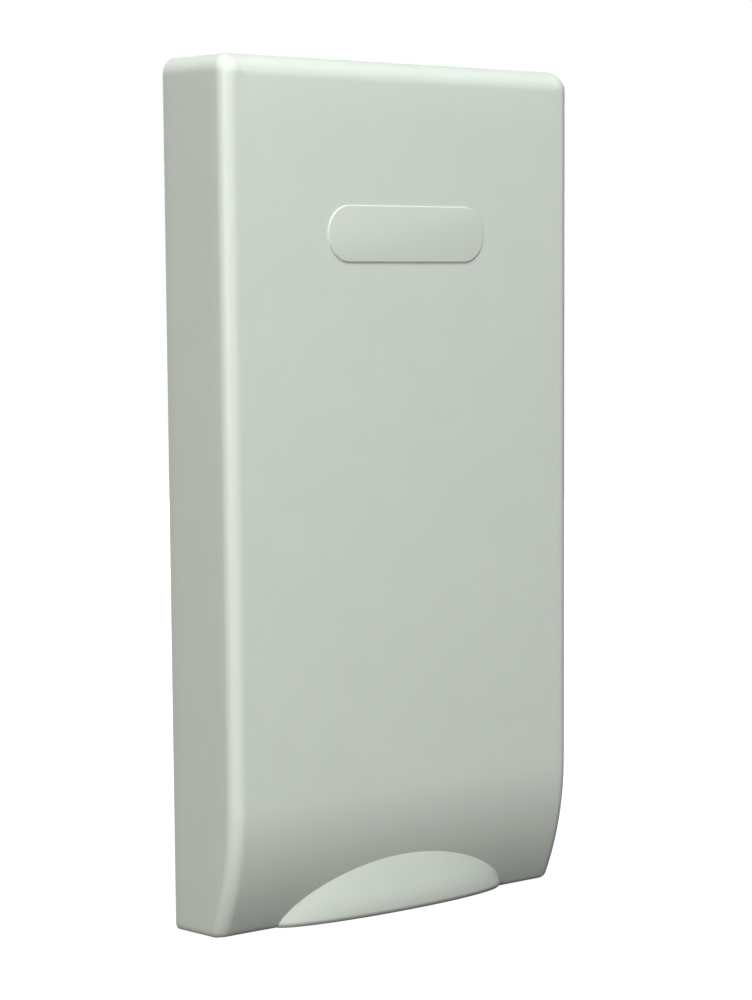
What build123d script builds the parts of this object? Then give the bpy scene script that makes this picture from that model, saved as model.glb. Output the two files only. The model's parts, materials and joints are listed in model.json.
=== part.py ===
"""Wall cowl of a caravan water heater, closed by its pull-off cover.

Millimetres.  The origin is the centre of the wall screws' pattern, on the outside face of the
caravan wall.  X runs along the wall, +Z is up, and -Y points outwards, away from the wall.
"Out" in the names below is the distance outwards from the wall's face, which is -Y.
All "half" sizes are measured from the origin's vertical or horizontal centre line.
"""

import os
from math import cos, radians, sin, sqrt, tan

from build123d import *

# ---------------------------------------------------------------------------------------------
# Driving dimensions
# ---------------------------------------------------------------------------------------------

# opening in the caravan wall, and the moulded frame that stands in it
cut_out_width = 92.0
cut_out_height = 168.0
cut_out_clearance = 2.0
collar_reach = 17.0  # into the wall
collar_corner = 6.0
frame_wall = 2.5
ledge_side = 4.0  # upstand stands this far outside the collar
ledge_end = 6.0
upstand_corner = 8.0
land_side = 11.0  # flange outside the upstand, where the wall screws go
land_end = 22.0
flange_thickness = 3.0
flange_corner = 10.0
gasket_thickness = 3.0
gasket_inset = 3.0
collar_seal_width = 8.0
collar_seal_slack = 0.2

# cover
cover_wall = 2.5
cover_depth = 27.5  # rim to front face
cover_taper = 1.3  # the head is this much wider than the foot, each side
rim_out = 2.0
skirt_gap = 3.7  # skirt to flange, each side
hinge_space = 10.0  # flange to the inside of the head, room for the rod
head_corner_radius = 5.0
head_edge_radius = 6.5
side_edge_radius = 4.0
foot_edge_radius = 1.2
sweep_height = 42.0  # the front sweeps back over this height
sweep_setback = 8.0

# finger grip at the foot of the cover
grip_half_width = 44.0
grip_reach = 8.9
grip_lean = 9.0  # degrees, backwards
grip_wall = 2.2
grip_height = 34.0
grip_lip_radius = 0.5

# plain raised badge on the front face
badge_width = 60.0
badge_height = 16.0
badge_raise = 0.4
badge_drop = 49.0  # its middle below the cover's head

# hinge rod, the eyes of the cover on it and the hooks of the frame under it
rod_radius = 1.5
rod_half_length = 48.0
rod_clearance = 0.05
hook_clearance = 0.1
hook_wall = 1.8
hook_thickness = 4.0
hook_aside = 32.0
hook_foot = 6.0
hook_wall_gap = 2.1  # hook to the vehicle's wall
hook_head_gap = 0.6  # hook to the inside of the cover's head
lift_angle = 20.0  # degrees above level, the way the rod leaves its hooks
eye_wall = 1.65
eye_thickness = 6.0
eye_aside = 43.0
cap_wall = 1.5
cap_length = 3.0
cap_gap = 0.4

# seal strip, pads and snap noses of the cover
bearing_gap = 0.3
strip_thickness = 3.0
strip_width = 4.0
rib_width = 2.0
strip_inset = 3.5  # strip's middle line inside the flange's side
strip_drop = 9.5  # and below its top edge
strip_foot = -70.0
pad_radius = 5.0
post_radius = 4.0
pad_aside = 40.0
pad_rise = 10.0
snap_level = -60.0
snap_length = 14.0
snap_gap = 0.3

# duct plate with the flue above and the air intake below
plate_thickness = 1.0
plate_slack = 0.5
heat_gasket_thickness = 1.5
flue_radius = 20.0
flue_wall = 0.8
flue_reach = 45.0  # into the wall
flue_nose = 1.5
flue_lip = 2.0
flue_slack = 0.1
flue_flange_rim = 3.0  # outside its rivets
flue_flange_thickness = 2.0
flue_seal_radius = 1.4
flue_seal_bite = 0.3
flue_seal_inset = 7.0
intake_width = 60.0
intake_drop = 14.0  # its top edge below the divider
intake_rise = 11.5  # its bottom edge above the duct's floor
intake_corner = 3.0
screen_overlap = 4.0
screen_thickness = 0.6
screen_pitch = 6.0
screen_wire = 0.8
screen_frame_thickness = 1.0
sheet = 0.8  # baffle and divider
baffle_half_width = 22.0
baffle_flue_gap = 3.0  # its legs to the flue's lip
baffle_foot = 7.0
baffle_gap = 1.5  # behind the grille
divider_foot = 7.0
divider_slack = 0.5

# front grille
grille_thickness = 2.5
grille_gap = 6.5  # inside of the cover to the grille
grille_border = 2.6
grille_border_raise = 0.5
grille_spine = 8.0
slot_height = 5.0
slot_pitch = 8.6
slot_margin = 13.0
slot_side_margin = 8.0

# fasteners
wall_screw_radius = 2.0  # where it stands in the wall
wall_screw_neck = 2.25  # where it passes the flange and the gasket
wall_screw_head = 3.9
wall_screw_reach = 10.0  # behind the wall's face
wall_screw_slack = 0.1
corner_screw_inset_x = 9.0  # from the flange's edge
corner_screw_inset_z = 10.0
middle_screw_inset = 5.5
small_screw_radius = 1.45
small_screw_slack = 0.05
small_screw_head = 2.8
small_screw_head_height = 1.6
boss_radius = 4.5
boss_depth = 9.0
boss_inset = 4.0
plate_screw_half_z = 60.0
rivet_radius = 1.2
rivet_head = 2.3
rivet_head_height = 0.9
rivet_tail = 1.7
rivet_tail_height = 1.0
rivet_slack = 0.05
rivet_gap = 0.4  # head to whatever stands beside it

# ---------------------------------------------------------------------------------------------
# Sizes that follow from them
# ---------------------------------------------------------------------------------------------

collar_half_w = cut_out_width / 2 - cut_out_clearance
collar_half_h = cut_out_height / 2 - cut_out_clearance
duct_half_w = collar_half_w - frame_wall
duct_half_h = collar_half_h - frame_wall
upstand_half_w = collar_half_w + ledge_side
upstand_half_h = collar_half_h + ledge_end
tray_half_w = upstand_half_w - frame_wall
tray_half_h = upstand_half_h - frame_wall
flange_half_w = upstand_half_w + land_side
flange_half_h = upstand_half_h + land_end
flange_out = gasket_thickness + flange_thickness

foot_half_w = flange_half_w + skirt_gap + cover_wall
head_half_w = foot_half_w + cover_taper
cover_half_h = flange_half_h + hinge_space + cover_wall
front_out = rim_out + cover_depth
inside_out = front_out - cover_wall
sweep_top = sweep_height - cover_half_h
sweep_radius = (sweep_height**2 + sweep_setback**2) / (2 * sweep_setback)
grip_out = front_out - grip_reach

grille_out = inside_out - grille_gap
upstand_out = grille_out - grille_thickness
plate_back_out = flange_out + heat_gasket_thickness
plate_out = plate_back_out + plate_thickness
plate_half_w = tray_half_w - plate_slack
plate_half_h = tray_half_h - plate_slack
baffle_out = upstand_out - baffle_gap

hook_radius = rod_radius + hook_clearance + hook_wall
eye_radius = rod_radius + rod_clearance + eye_wall
cap_radius = rod_radius + cap_wall
rod_out = hook_wall_gap + hook_radius
rod_drop = hook_radius + hook_head_gap
rod_level = cover_half_h - cover_wall - rod_drop
lift = Vector(0, -cos(radians(lift_angle)), sin(radians(lift_angle)))
strip_out = flange_out + bearing_gap
rib_out = strip_out + strip_thickness
strip_half_w = flange_half_w - strip_inset
strip_top = flange_half_h - strip_drop
pad_level = pad_rise - flange_half_h

corner_screws = [(x, z) for x in (corner_screw_inset_x - flange_half_w, flange_half_w - corner_screw_inset_x)
                 for z in (corner_screw_inset_z - flange_half_h, flange_half_h - corner_screw_inset_z)]
middle_screws = [(side * (flange_half_w - middle_screw_inset), 0) for side in (-1, 1)]
wall_screw_points = corner_screws + middle_screws
plate_screw_points = [(x, z) for x in (boss_inset - duct_half_w, duct_half_w - boss_inset)
                      for z in (-plate_screw_half_z, plate_screw_half_z)]
grille_screw_points = [(x, z) for x in (boss_inset - tray_half_w, tray_half_w - boss_inset)
                       for z in (boss_inset - tray_half_h, tray_half_h - boss_inset)]
pad_points = [(-pad_aside, pad_level), (pad_aside, pad_level)]

flue_level = (sheet + duct_half_h) / 2  # midway between the divider and the duct's roof
baffle_half_height = flue_radius + flue_lip + baffle_flue_gap
flue_rivet_ring = flue_radius + flue_lip + rivet_head + rivet_gap
flue_flange_radius = flue_rivet_ring + flue_flange_rim
flue_rivet_points = [(flue_rivet_ring * cos(radians(a)), flue_level + flue_rivet_ring * sin(radians(a)))
                     for a in (0, 180)]
baffle_rivet_points = [(x, flue_level + end * (baffle_half_height + baffle_foot / 2))
                       for x in (-baffle_half_width / 2, baffle_half_width / 2) for end in (-1, 1)]
intake_height = duct_half_h - intake_rise - intake_drop
intake_level = -intake_drop - intake_height / 2
screen_half_w = intake_width / 2 + screen_overlap
screen_half_h = intake_height / 2 + screen_overlap
screen_rivet_points = [(x, intake_level + z)
                       for x in (screen_overlap / 2 - screen_half_w, screen_half_w - screen_overlap / 2)
                       for z in (screen_overlap / 2 - screen_half_h, screen_half_h - screen_overlap / 2)]
divider_rivet_points = [(-baffle_half_width, -divider_foot / 2), (baffle_half_width, -divider_foot / 2)]


# ---------------------------------------------------------------------------------------------
# Shapes used by more than one piece
# ---------------------------------------------------------------------------------------------


def save(piece, name):
    """Labels a finished piece and writes it to its own STEP file."""
    piece.part.label = name
    export_step(piece.part, f"parts/{name}.step")


def turned(profile, points):
    """One turned body at each (x, z) point; the profile lists (radius, out) corners."""
    with BuildPart() as bodies:
        for x, z in points:
            with BuildSketch(Plane((x, 0, z), x_dir=(1, 0, 0), z_dir=(0, 0, -1))):
                with BuildLine():
                    Polyline(*profile, close=True)
                make_face()
            revolve(axis=Axis((x, 0, z), (0, -1, 0)))
    return bodies.part


def rod(radius, low_out, high_out):
    """Profile of a plain cylinder for turned()."""
    return [(0, low_out), (radius, low_out), (radius, high_out), (0, high_out)]


def countersink(radius, head, back_out, face_out):
    """Profile of a countersunk hole, or of the neck and head in it, for turned()."""
    return [(0, back_out), (radius, back_out), (radius, face_out - (head - radius)), (head, face_out),
            (0, face_out)]


def pan_head(radius, head, height, tip_out, face_out):
    """Profile of a pan head screw or a rivet's head and shank, for turned()."""
    return [(0, tip_out), (radius, tip_out), (radius, face_out), (head, face_out),
            (head, face_out + height / 2), (0.6 * head, face_out + height), (0, face_out + height)]


def foot_out(level, inset):
    """How far out the cover's skin, drawn in by inset, stands at a level: flat, then swept back."""
    below = min(0.0, level - sweep_top)
    return front_out - sweep_radius + sqrt((sweep_radius - inset)**2 - below**2)


def skirt_half_w(level, inset):
    """Half width of the cover's skin, drawn in by inset, at a level."""
    return foot_half_w + cover_taper * (level + cover_half_h) / (2 * cover_half_h) - inset


def cover_block(inset):
    """The space within the cover's skin, drawn in by inset on every side but the open back."""
    foot, head, half_h = foot_half_w - inset, head_half_w - inset, cover_half_h - inset
    face_out = front_out - inset
    edge_radius = head_edge_radius - inset
    with BuildPart() as block:
        with BuildSketch(Plane.XZ.offset(rim_out)) as outline:
            with BuildLine():
                Polyline((-foot, -half_h), (foot, -half_h), (head, half_h), (-head, half_h), close=True)
            make_face()
            fillet(outline.vertices().group_by(Axis.Y)[-1], head_corner_radius - inset)
        extrude(amount=face_out - rim_out)

        # the front sweeps back over the foot
        with BuildSketch(Plane.YZ):
            with Locations((-front_out, sweep_top)):
                Rectangle(2 * sweep_setback + 2 * inset, 2 * sweep_height, align=(Align.CENTER, Align.MAX))
            with Locations((sweep_radius - front_out, sweep_top)):
                Circle(sweep_radius - inset, mode=Mode.SUBTRACT)
        extrude(amount=2 * head_half_w, both=True, mode=Mode.SUBTRACT)

        # soft edge down both sides and over the head
        nearest_out = foot_out(-half_h, inset) - 0.5
        front_edges = block.edges().filter_by(lambda e: e.bounding_box().max.Y < -nearest_out)
        fillet(front_edges.filter_by(lambda e: e.bounding_box().size.Z > 0.01 or e.center().Z > 0),
               side_edge_radius - inset)

        # rounder edge along the head
        corner = (edge_radius - face_out, half_h - edge_radius)
        with BuildSketch(Plane.YZ):
            with Locations(corner):
                Rectangle(edge_radius + 1, edge_radius + 1, align=(Align.MAX, Align.MIN))
                Circle(edge_radius, mode=Mode.SUBTRACT)
        extrude(amount=2 * head_half_w, both=True, mode=Mode.SUBTRACT)
    return block.part


def grip_prism(inset, overrun):
    """Leaning elliptic prism of the finger grip, drawn in by inset, begun overrun below the foot."""
    lean = radians(grip_lean)
    with BuildPart() as prism:
        with BuildSketch(Plane.XY.offset(-cover_half_h - overrun)):
            with Locations((0, -grip_out - overrun * tan(lean))):
                Ellipse(grip_half_width - inset, grip_reach - inset)
        extrude(amount=(grip_height + overrun) / cos(lean), dir=(0, sin(lean), cos(lean)))
    return prism.part


def arch_strip(width, start_out, end_out):
    """Strip of a width that runs up one side, across the top and down the other side."""
    half = width / 2
    outer_w, inner_w = strip_half_w + half, strip_half_w - half
    outer_top, inner_top = strip_top + half, strip_top - half
    with BuildPart() as strip:
        with BuildSketch(Plane.XZ.offset(start_out)):
            with BuildLine():
                Polyline((-outer_w, strip_foot), (-outer_w, outer_top), (outer_w, outer_top),
                         (outer_w, strip_foot), (inner_w, strip_foot), (inner_w, inner_top),
                         (-inner_w, inner_top), (-inner_w, strip_foot), close=True)
            make_face()
        extrude(amount=end_out - start_out)
    return strip.part


os.makedirs("parts", exist_ok=True)

# ---------------------------------------------------------------------------------------------
# Wall side: frame, gaskets
# ---------------------------------------------------------------------------------------------

wall_screw_holes = turned(
    countersink(wall_screw_neck + wall_screw_slack, wall_screw_head + wall_screw_slack,
                gasket_thickness, flange_out), wall_screw_points)
plate_bosses = turned(rod(boss_radius, flange_out - boss_depth - 1, flange_out), plate_screw_points)
plate_pilots = turned(
    rod(small_screw_radius + small_screw_slack, flange_out - boss_depth, flange_out), plate_screw_points)
grille_bosses = turned(rod(boss_radius, plate_out + plate_slack, upstand_out), grille_screw_points)
grille_pilots = turned(
    rod(small_screw_radius + small_screw_slack, plate_out + plate_slack + 1, upstand_out),
    grille_screw_points)

# one moulding: flange on the wall, collar into it, upstand for the grille, hooks for the rod
with BuildPart() as wall_frame:
    with BuildSketch(Plane.XZ.offset(gasket_thickness)):
        RectangleRounded(2 * flange_half_w, 2 * flange_half_h, flange_corner)
    extrude(amount=flange_thickness)
    with BuildSketch(Plane.XZ.offset(flange_out)):
        RectangleRounded(2 * upstand_half_w, 2 * upstand_half_h, upstand_corner)
    extrude(amount=upstand_out - flange_out)
    with BuildSketch(Plane.XZ.offset(-collar_reach)):
        RectangleRounded(2 * collar_half_w, 2 * collar_half_h, collar_corner)
    extrude(amount=collar_reach + flange_out)

    # the duct right through, and the wider tray in the upstand, which leaves the plate's ledge
    with BuildSketch(Plane.XZ.offset(-collar_reach)):
        RectangleRounded(2 * duct_half_w, 2 * duct_half_h, collar_corner - frame_wall)
    extrude(amount=collar_reach + flange_out, mode=Mode.SUBTRACT)
    with BuildSketch(Plane.XZ.offset(flange_out)):
        RectangleRounded(2 * tray_half_w, 2 * tray_half_h, upstand_corner - frame_wall)
    extrude(amount=upstand_out - flange_out, mode=Mode.SUBTRACT)

    add(plate_bosses)
    add(grille_bosses)
    add(plate_pilots, mode=Mode.SUBTRACT)
    add(grille_pilots, mode=Mode.SUBTRACT)
    add(wall_screw_holes, mode=Mode.SUBTRACT)

    # hooks: open slots that lean outwards and upwards
    hook_depth = rod_out + hook_radius - gasket_thickness
    for side in (-1, 1):
        with BuildSketch(Plane.YZ.offset(side * hook_aside)):
            with Locations((-rod_out, rod_level)):
                Circle(hook_radius)
            with Locations((-gasket_thickness, flange_half_h - hook_foot)):
                Rectangle(hook_depth, rod_level - flange_half_h + hook_foot, align=(Align.MAX, Align.MIN))
            with Locations((-rod_out, rod_level)):
                Circle(rod_radius + hook_clearance, mode=Mode.SUBTRACT)
                Rectangle(2 * hook_radius, 2 * (rod_radius + hook_clearance), rotation=180 - lift_angle,
                          align=(Align.MIN, Align.CENTER), mode=Mode.SUBTRACT)
        extrude(amount=hook_thickness / 2, both=True)
save(wall_frame, "wall_frame")

# foam between the flange and the wall
gasket_holes = turned(rod(wall_screw_neck + wall_screw_slack, 0, gasket_thickness), wall_screw_points)
with BuildPart() as wall_gasket:
    with BuildSketch(Plane.XZ):
        RectangleRounded(2 * (flange_half_w - gasket_inset), 2 * (flange_half_h - gasket_inset),
                         flange_corner - gasket_inset)
        RectangleRounded(2 * collar_half_w, 2 * collar_half_h, collar_corner, mode=Mode.SUBTRACT)
    extrude(amount=gasket_thickness)
    add(gasket_holes, mode=Mode.SUBTRACT)
save(wall_gasket, "wall_gasket")

# foam strip round the collar's inner end, against the sides of the wall opening
seal_half_w = cut_out_width / 2 - collar_seal_slack
seal_half_h = cut_out_height / 2 - collar_seal_slack
with BuildPart() as collar_seal:
    with BuildSketch(Plane.XZ.offset(-collar_reach)):
        RectangleRounded(2 * seal_half_w, 2 * seal_half_h, collar_corner + cut_out_clearance)
        RectangleRounded(2 * collar_half_w, 2 * collar_half_h, collar_corner, mode=Mode.SUBTRACT)
    extrude(amount=collar_seal_width)
save(collar_seal, "collar_seal")

# heat-proof gasket on the ledge, with a lobe round each plate screw
gasket_lobes = turned(rod(boss_radius, flange_out, plate_back_out), plate_screw_points)
screw_clearances = turned(
    rod(small_screw_radius + small_screw_slack, flange_out, plate_out), plate_screw_points)
with BuildPart() as heat_gasket:
    with BuildSketch(Plane.XZ.offset(flange_out)):
        RectangleRounded(2 * plate_half_w, 2 * plate_half_h, upstand_corner - frame_wall)
        RectangleRounded(2 * duct_half_w, 2 * duct_half_h, collar_corner - frame_wall, mode=Mode.SUBTRACT)
    extrude(amount=heat_gasket_thickness)
    add(gasket_lobes)
    add(screw_clearances, mode=Mode.SUBTRACT)
save(heat_gasket, "heat_gasket")

# ---------------------------------------------------------------------------------------------
# Duct plate and what it carries
# ---------------------------------------------------------------------------------------------

rivet_points = flue_rivet_points + baffle_rivet_points + screen_rivet_points + divider_rivet_points
rivet_holes = turned(rod(rivet_radius + rivet_slack, plate_back_out, plate_out), rivet_points)
flue_hole = turned(rod(flue_radius + flue_slack, plate_back_out, plate_out), [(0, flue_level)])
with BuildPart() as duct_plate:
    with BuildSketch(Plane.XZ.offset(plate_back_out)):
        RectangleRounded(2 * plate_half_w, 2 * plate_half_h, upstand_corner - frame_wall)
        with Locations((0, intake_level)):
            RectangleRounded(intake_width, intake_height, intake_corner, mode=Mode.SUBTRACT)
    extrude(amount=plate_thickness)
    add(flue_hole, mode=Mode.SUBTRACT)
    add(rivet_holes, mode=Mode.SUBTRACT)
    add(screw_clearances, mode=Mode.SUBTRACT)
save(duct_plate, "duct_plate")

# exhaust tube, with a lip that hangs it in the plate
with BuildPart() as flue_tube:
    add(turned([(flue_radius - flue_wall, -flue_reach), (flue_radius, -flue_reach),
                (flue_radius, plate_out), (flue_radius + flue_lip, plate_out),
                (flue_radius + flue_lip, plate_out + flue_wall), (flue_radius, plate_out + flue_wall),
                (flue_radius, plate_out + flue_nose), (flue_radius - flue_wall, plate_out + flue_nose)],
               [(0, flue_level)]))
save(flue_tube, "flue_tube")

# ring behind the plate that grips the tube
flange_ring_out = plate_back_out - flue_flange_thickness
flange_ring_holes = turned(
    rod(rivet_radius + rivet_slack, flange_ring_out, plate_back_out), flue_rivet_points)
with BuildPart() as flue_flange:
    add(turned([(flue_radius, flange_ring_out), (flue_flange_radius, flange_ring_out),
                (flue_flange_radius, plate_back_out), (flue_radius, plate_back_out)], [(0, flue_level)]))
    add(flange_ring_holes, mode=Mode.SUBTRACT)
save(flue_flange, "flue_flange")

# ring seal near the tube's inner end, flattened where it grips the tube
with BuildPart() as flue_seal:
    with BuildSketch(Plane((0, 0, flue_level), x_dir=(1, 0, 0), z_dir=(0, 0, -1))):
        with Locations((flue_radius + flue_seal_radius - flue_seal_bite, flue_seal_inset - flue_reach)):
            Circle(flue_seal_radius)
        with Locations((flue_radius, flue_seal_inset - flue_reach)):
            Rectangle(2 * flue_seal_radius, 2 * flue_seal_radius, align=(Align.MAX, Align.CENTER),
                      mode=Mode.SUBTRACT)
    revolve(axis=Axis((0, 0, flue_level), (0, -1, 0)))
save(flue_seal, "flue_seal")

# bent strip in front of the flue, open at both sides
baffle_holes = turned(rod(rivet_radius + rivet_slack, plate_out, plate_out + sheet), baffle_rivet_points)
with BuildPart() as flue_baffle:
    with BuildSketch(Plane.YZ):
        for end in (-1, 1):
            edge = flue_level + end * baffle_half_height
            with BuildLine():
                Polyline((-plate_out, edge + end * baffle_foot), (-plate_out, edge - end * sheet),
                         (sheet - baffle_out, edge - end * sheet), (sheet - baffle_out, flue_level),
                         (-baffle_out, flue_level), (-baffle_out, edge), (-plate_out - sheet, edge),
                         (-plate_out - sheet, edge + end * baffle_foot), close=True)
            make_face()
    extrude(amount=baffle_half_width, both=True)
    add(baffle_holes, mode=Mode.SUBTRACT)
save(flue_baffle, "flue_baffle")

# shelf that keeps the exhaust away from the air intake
divider_holes = turned(rod(rivet_radius + rivet_slack, plate_out, plate_out + sheet), divider_rivet_points)
with BuildPart() as divider:
    with BuildSketch(Plane.YZ):
        with BuildLine():
            Polyline((-plate_out, -divider_foot), (-plate_out, sheet),
                     (divider_slack - upstand_out, sheet), (divider_slack - upstand_out, 0),
                     (-plate_out - sheet, 0), (-plate_out - sheet, -divider_foot), close=True)
        make_face()
    extrude(amount=tray_half_w - divider_slack, both=True)
    add(divider_holes, mode=Mode.SUBTRACT)
save(divider, "divider")

# wire screen over the air intake
screen_out = plate_out + screen_thickness
screen_columns = int(intake_width / screen_pitch)
screen_rows = int(intake_height / screen_pitch)
screen_holes = turned(rod(rivet_radius + rivet_slack, plate_out, screen_out), screen_rivet_points)
with BuildPart() as intake_screen:
    with BuildSketch(Plane.XZ.offset(plate_out)):
        with Locations((0, intake_level)):
            Rectangle(2 * screen_half_w, 2 * screen_half_h)
            with GridLocations(screen_pitch, screen_pitch, screen_columns, screen_rows):
                Rectangle(screen_pitch - screen_wire, screen_pitch - screen_wire, mode=Mode.SUBTRACT)
    extrude(amount=screen_thickness)
    add(screen_holes, mode=Mode.SUBTRACT)
save(intake_screen, "intake_screen")

# frame that clamps the screen
screen_frame_out = screen_out + screen_frame_thickness
screen_frame_holes = turned(
    rod(rivet_radius + rivet_slack, screen_out, screen_frame_out), screen_rivet_points)
with BuildPart() as screen_frame:
    with BuildSketch(Plane.XZ.offset(screen_out)):
        with Locations((0, intake_level)):
            RectangleRounded(2 * screen_half_w, 2 * screen_half_h, intake_corner)
            RectangleRounded(intake_width, intake_height, intake_corner, mode=Mode.SUBTRACT)
    extrude(amount=screen_frame_thickness)
    add(screen_frame_holes, mode=Mode.SUBTRACT)
save(screen_frame, "screen_frame")

# slotted grille on the upstand
slot_rows = int((2 * upstand_half_h - 2 * slot_margin) / slot_pitch)
slot_length = upstand_half_w - slot_side_margin - grille_spine / 2
grille_holes = turned(
    [(0, upstand_out), (small_screw_radius + small_screw_slack, upstand_out),
     (small_screw_radius + small_screw_slack, grille_out), (small_screw_head + small_screw_slack, grille_out),
     (small_screw_head + small_screw_slack, grille_out + grille_border_raise),
     (0, grille_out + grille_border_raise)], grille_screw_points)
with BuildPart() as front_grille:
    with BuildSketch(Plane.XZ.offset(upstand_out)):
        RectangleRounded(2 * upstand_half_w, 2 * upstand_half_h, upstand_corner)
    extrude(amount=grille_thickness)
    with BuildSketch(Plane.XZ.offset(grille_out)):
        RectangleRounded(2 * upstand_half_w, 2 * upstand_half_h, upstand_corner)
        RectangleRounded(2 * (upstand_half_w - grille_border), 2 * (upstand_half_h - grille_border),
                         upstand_corner - grille_border, mode=Mode.SUBTRACT)
    extrude(amount=grille_border_raise)
    with BuildSketch(Plane.XZ.offset(upstand_out)):
        with GridLocations(slot_length + grille_spine, slot_pitch, 2, slot_rows):
            SlotOverall(slot_length, slot_height)
    extrude(amount=grille_thickness, mode=Mode.SUBTRACT)
    add(grille_holes, mode=Mode.SUBTRACT)
save(front_grille, "front_grille")

# ---------------------------------------------------------------------------------------------
# Fasteners
# ---------------------------------------------------------------------------------------------

with BuildPart() as wall_screws:
    add(turned(countersink(wall_screw_neck, wall_screw_head, 0, flange_out), wall_screw_points))
    add(turned(rod(wall_screw_radius, -wall_screw_reach, 0), wall_screw_points))
save(wall_screws, "wall_screws")

with BuildPart() as plate_screws:
    add(turned(pan_head(small_screw_radius, small_screw_head, small_screw_head_height,
                        flange_out - boss_depth + 1, plate_out), plate_screw_points))
save(plate_screws, "plate_screws")

with BuildPart() as grille_screws:
    add(turned(pan_head(small_screw_radius, small_screw_head, small_screw_head_height,
                        plate_out + plate_slack + 2, grille_out), grille_screw_points))
save(grille_screws, "grille_screws")


def rivet(back_out, face_out):
    """Profile of a blind rivet through a stack of sheets."""
    return [(0, back_out - rivet_tail_height), (rivet_tail, back_out - rivet_tail_height),
            (rivet_tail, back_out), (rivet_radius, back_out), (rivet_radius, face_out),
            (rivet_head, face_out), (0.6 * rivet_head, face_out + rivet_head_height),
            (0, face_out + rivet_head_height)]


with BuildPart() as rivets:
    add(turned(rivet(flange_ring_out, plate_out), flue_rivet_points))
    add(turned(rivet(plate_back_out, plate_out + sheet), baffle_rivet_points + divider_rivet_points))
    add(turned(rivet(plate_back_out, screen_frame_out), screen_rivet_points))
save(rivets, "rivets")

# ---------------------------------------------------------------------------------------------
# Hinge rod
# ---------------------------------------------------------------------------------------------

with BuildPart() as hinge_rod:
    with BuildSketch(Plane.YZ):
        with Locations((-rod_out, rod_level)):
            Circle(rod_radius)
    extrude(amount=rod_half_length, both=True)
save(hinge_rod, "hinge_rod")

# push-on caps that keep the rod in the cover's eyes
cap_start = eye_aside + eye_thickness / 2 + cap_gap
with BuildPart() as rod_caps:
    for side in (-1, 1):
        with BuildSketch(Plane.YZ.offset(side * cap_start)):
            with Locations((-rod_out, rod_level)):
                Circle(cap_radius)
        extrude(amount=side * cap_length)
        with BuildSketch(Plane.YZ.offset(side * cap_start)):
            with Locations((-rod_out, rod_level)):
                Circle(rod_radius)
        extrude(amount=side * (rod_half_length - cap_start), mode=Mode.SUBTRACT)
save(rod_caps, "rod_caps")

# ---------------------------------------------------------------------------------------------
# Cover
# ---------------------------------------------------------------------------------------------

outer_block = cover_block(0)
inner_block = cover_block(cover_wall)
outer_grip = grip_prism(0, 0)
inner_grip = grip_prism(grip_wall, 1)
seal_rib = arch_strip(rib_width, rib_out, inside_out + cover_wall / 2)
pad_posts = turned(rod(post_radius, rib_out, foot_out(pad_level, cover_wall) + cover_wall / 2), pad_points)

# one moulding: skin, finger grip, rib behind the seal, posts, rod eyes and snap noses
with BuildPart() as cover_shell:
    add(outer_block)
    foot_edge = cover_shell.edges().filter_by(Axis.X).group_by(Axis.Z)[0].sort_by(Axis.Y)[0]
    fillet(foot_edge, foot_edge_radius)
    add(outer_grip)
    add(inner_block, mode=Mode.SUBTRACT)
    add(inner_grip, mode=Mode.SUBTRACT)

    with BuildSketch(Plane.XZ.offset(front_out - cover_wall / 2)):
        with Locations((0, cover_half_h - badge_drop)):
            SlotOverall(badge_width, badge_height)
    extrude(amount=cover_wall / 2 + badge_raise)

    add(seal_rib)
    add(pad_posts)
    for side in (-1, 1):
        with BuildSketch(Plane.YZ.offset(side * eye_aside)):
            with Locations((-rod_out, rod_level)):
                Circle(eye_radius)
                Rectangle(2 * eye_radius, rod_drop + cover_wall / 2, align=(Align.CENTER, Align.MIN))
                Circle(rod_radius + rod_clearance, mode=Mode.SUBTRACT)
        extrude(amount=eye_thickness / 2, both=True)

        tip = side * (flange_half_w + snap_gap)
        root = side * (skirt_half_w(snap_level, cover_wall) + cover_wall / 2)
        with BuildSketch(Plane.XY.offset(snap_level)):
            with BuildLine():
                Polyline((root, -rim_out - 0.6), (tip, -rim_out - 1.6), (tip, -rim_out - 2.4),
                         (root, -rim_out - 5.0), close=True)
            make_face()
        extrude(amount=snap_length / 2, both=True)
save(cover_shell, "cover_shell")

# foam strip on the rib, just clear of the flange
with BuildPart() as cover_seal:
    add(arch_strip(strip_width, strip_out, rib_out))
save(cover_seal, "cover_seal")

# rubber pads on the posts
with BuildPart() as cover_pads:
    add(turned(rod(pad_radius, strip_out, rib_out), pad_points))
save(cover_pads, "cover_pads")
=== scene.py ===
"""Finishes for the wall cowl of a caravan water heater and its pull-off cover.

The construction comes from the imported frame.  The sections below dress or build its pieces in the
order in which the cowl is put together, from the wall outwards.  Lengths inside a section are in
millimetres, and every mesh is turned into metres when it is made.  -Y is out from the wall and +Z
is up, so a point is written (x, out, z) and its out becomes a negative y.
"""

import json
import math

import bmesh
import bpy
import numpy as np
from mathutils import Matrix, Vector


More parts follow.
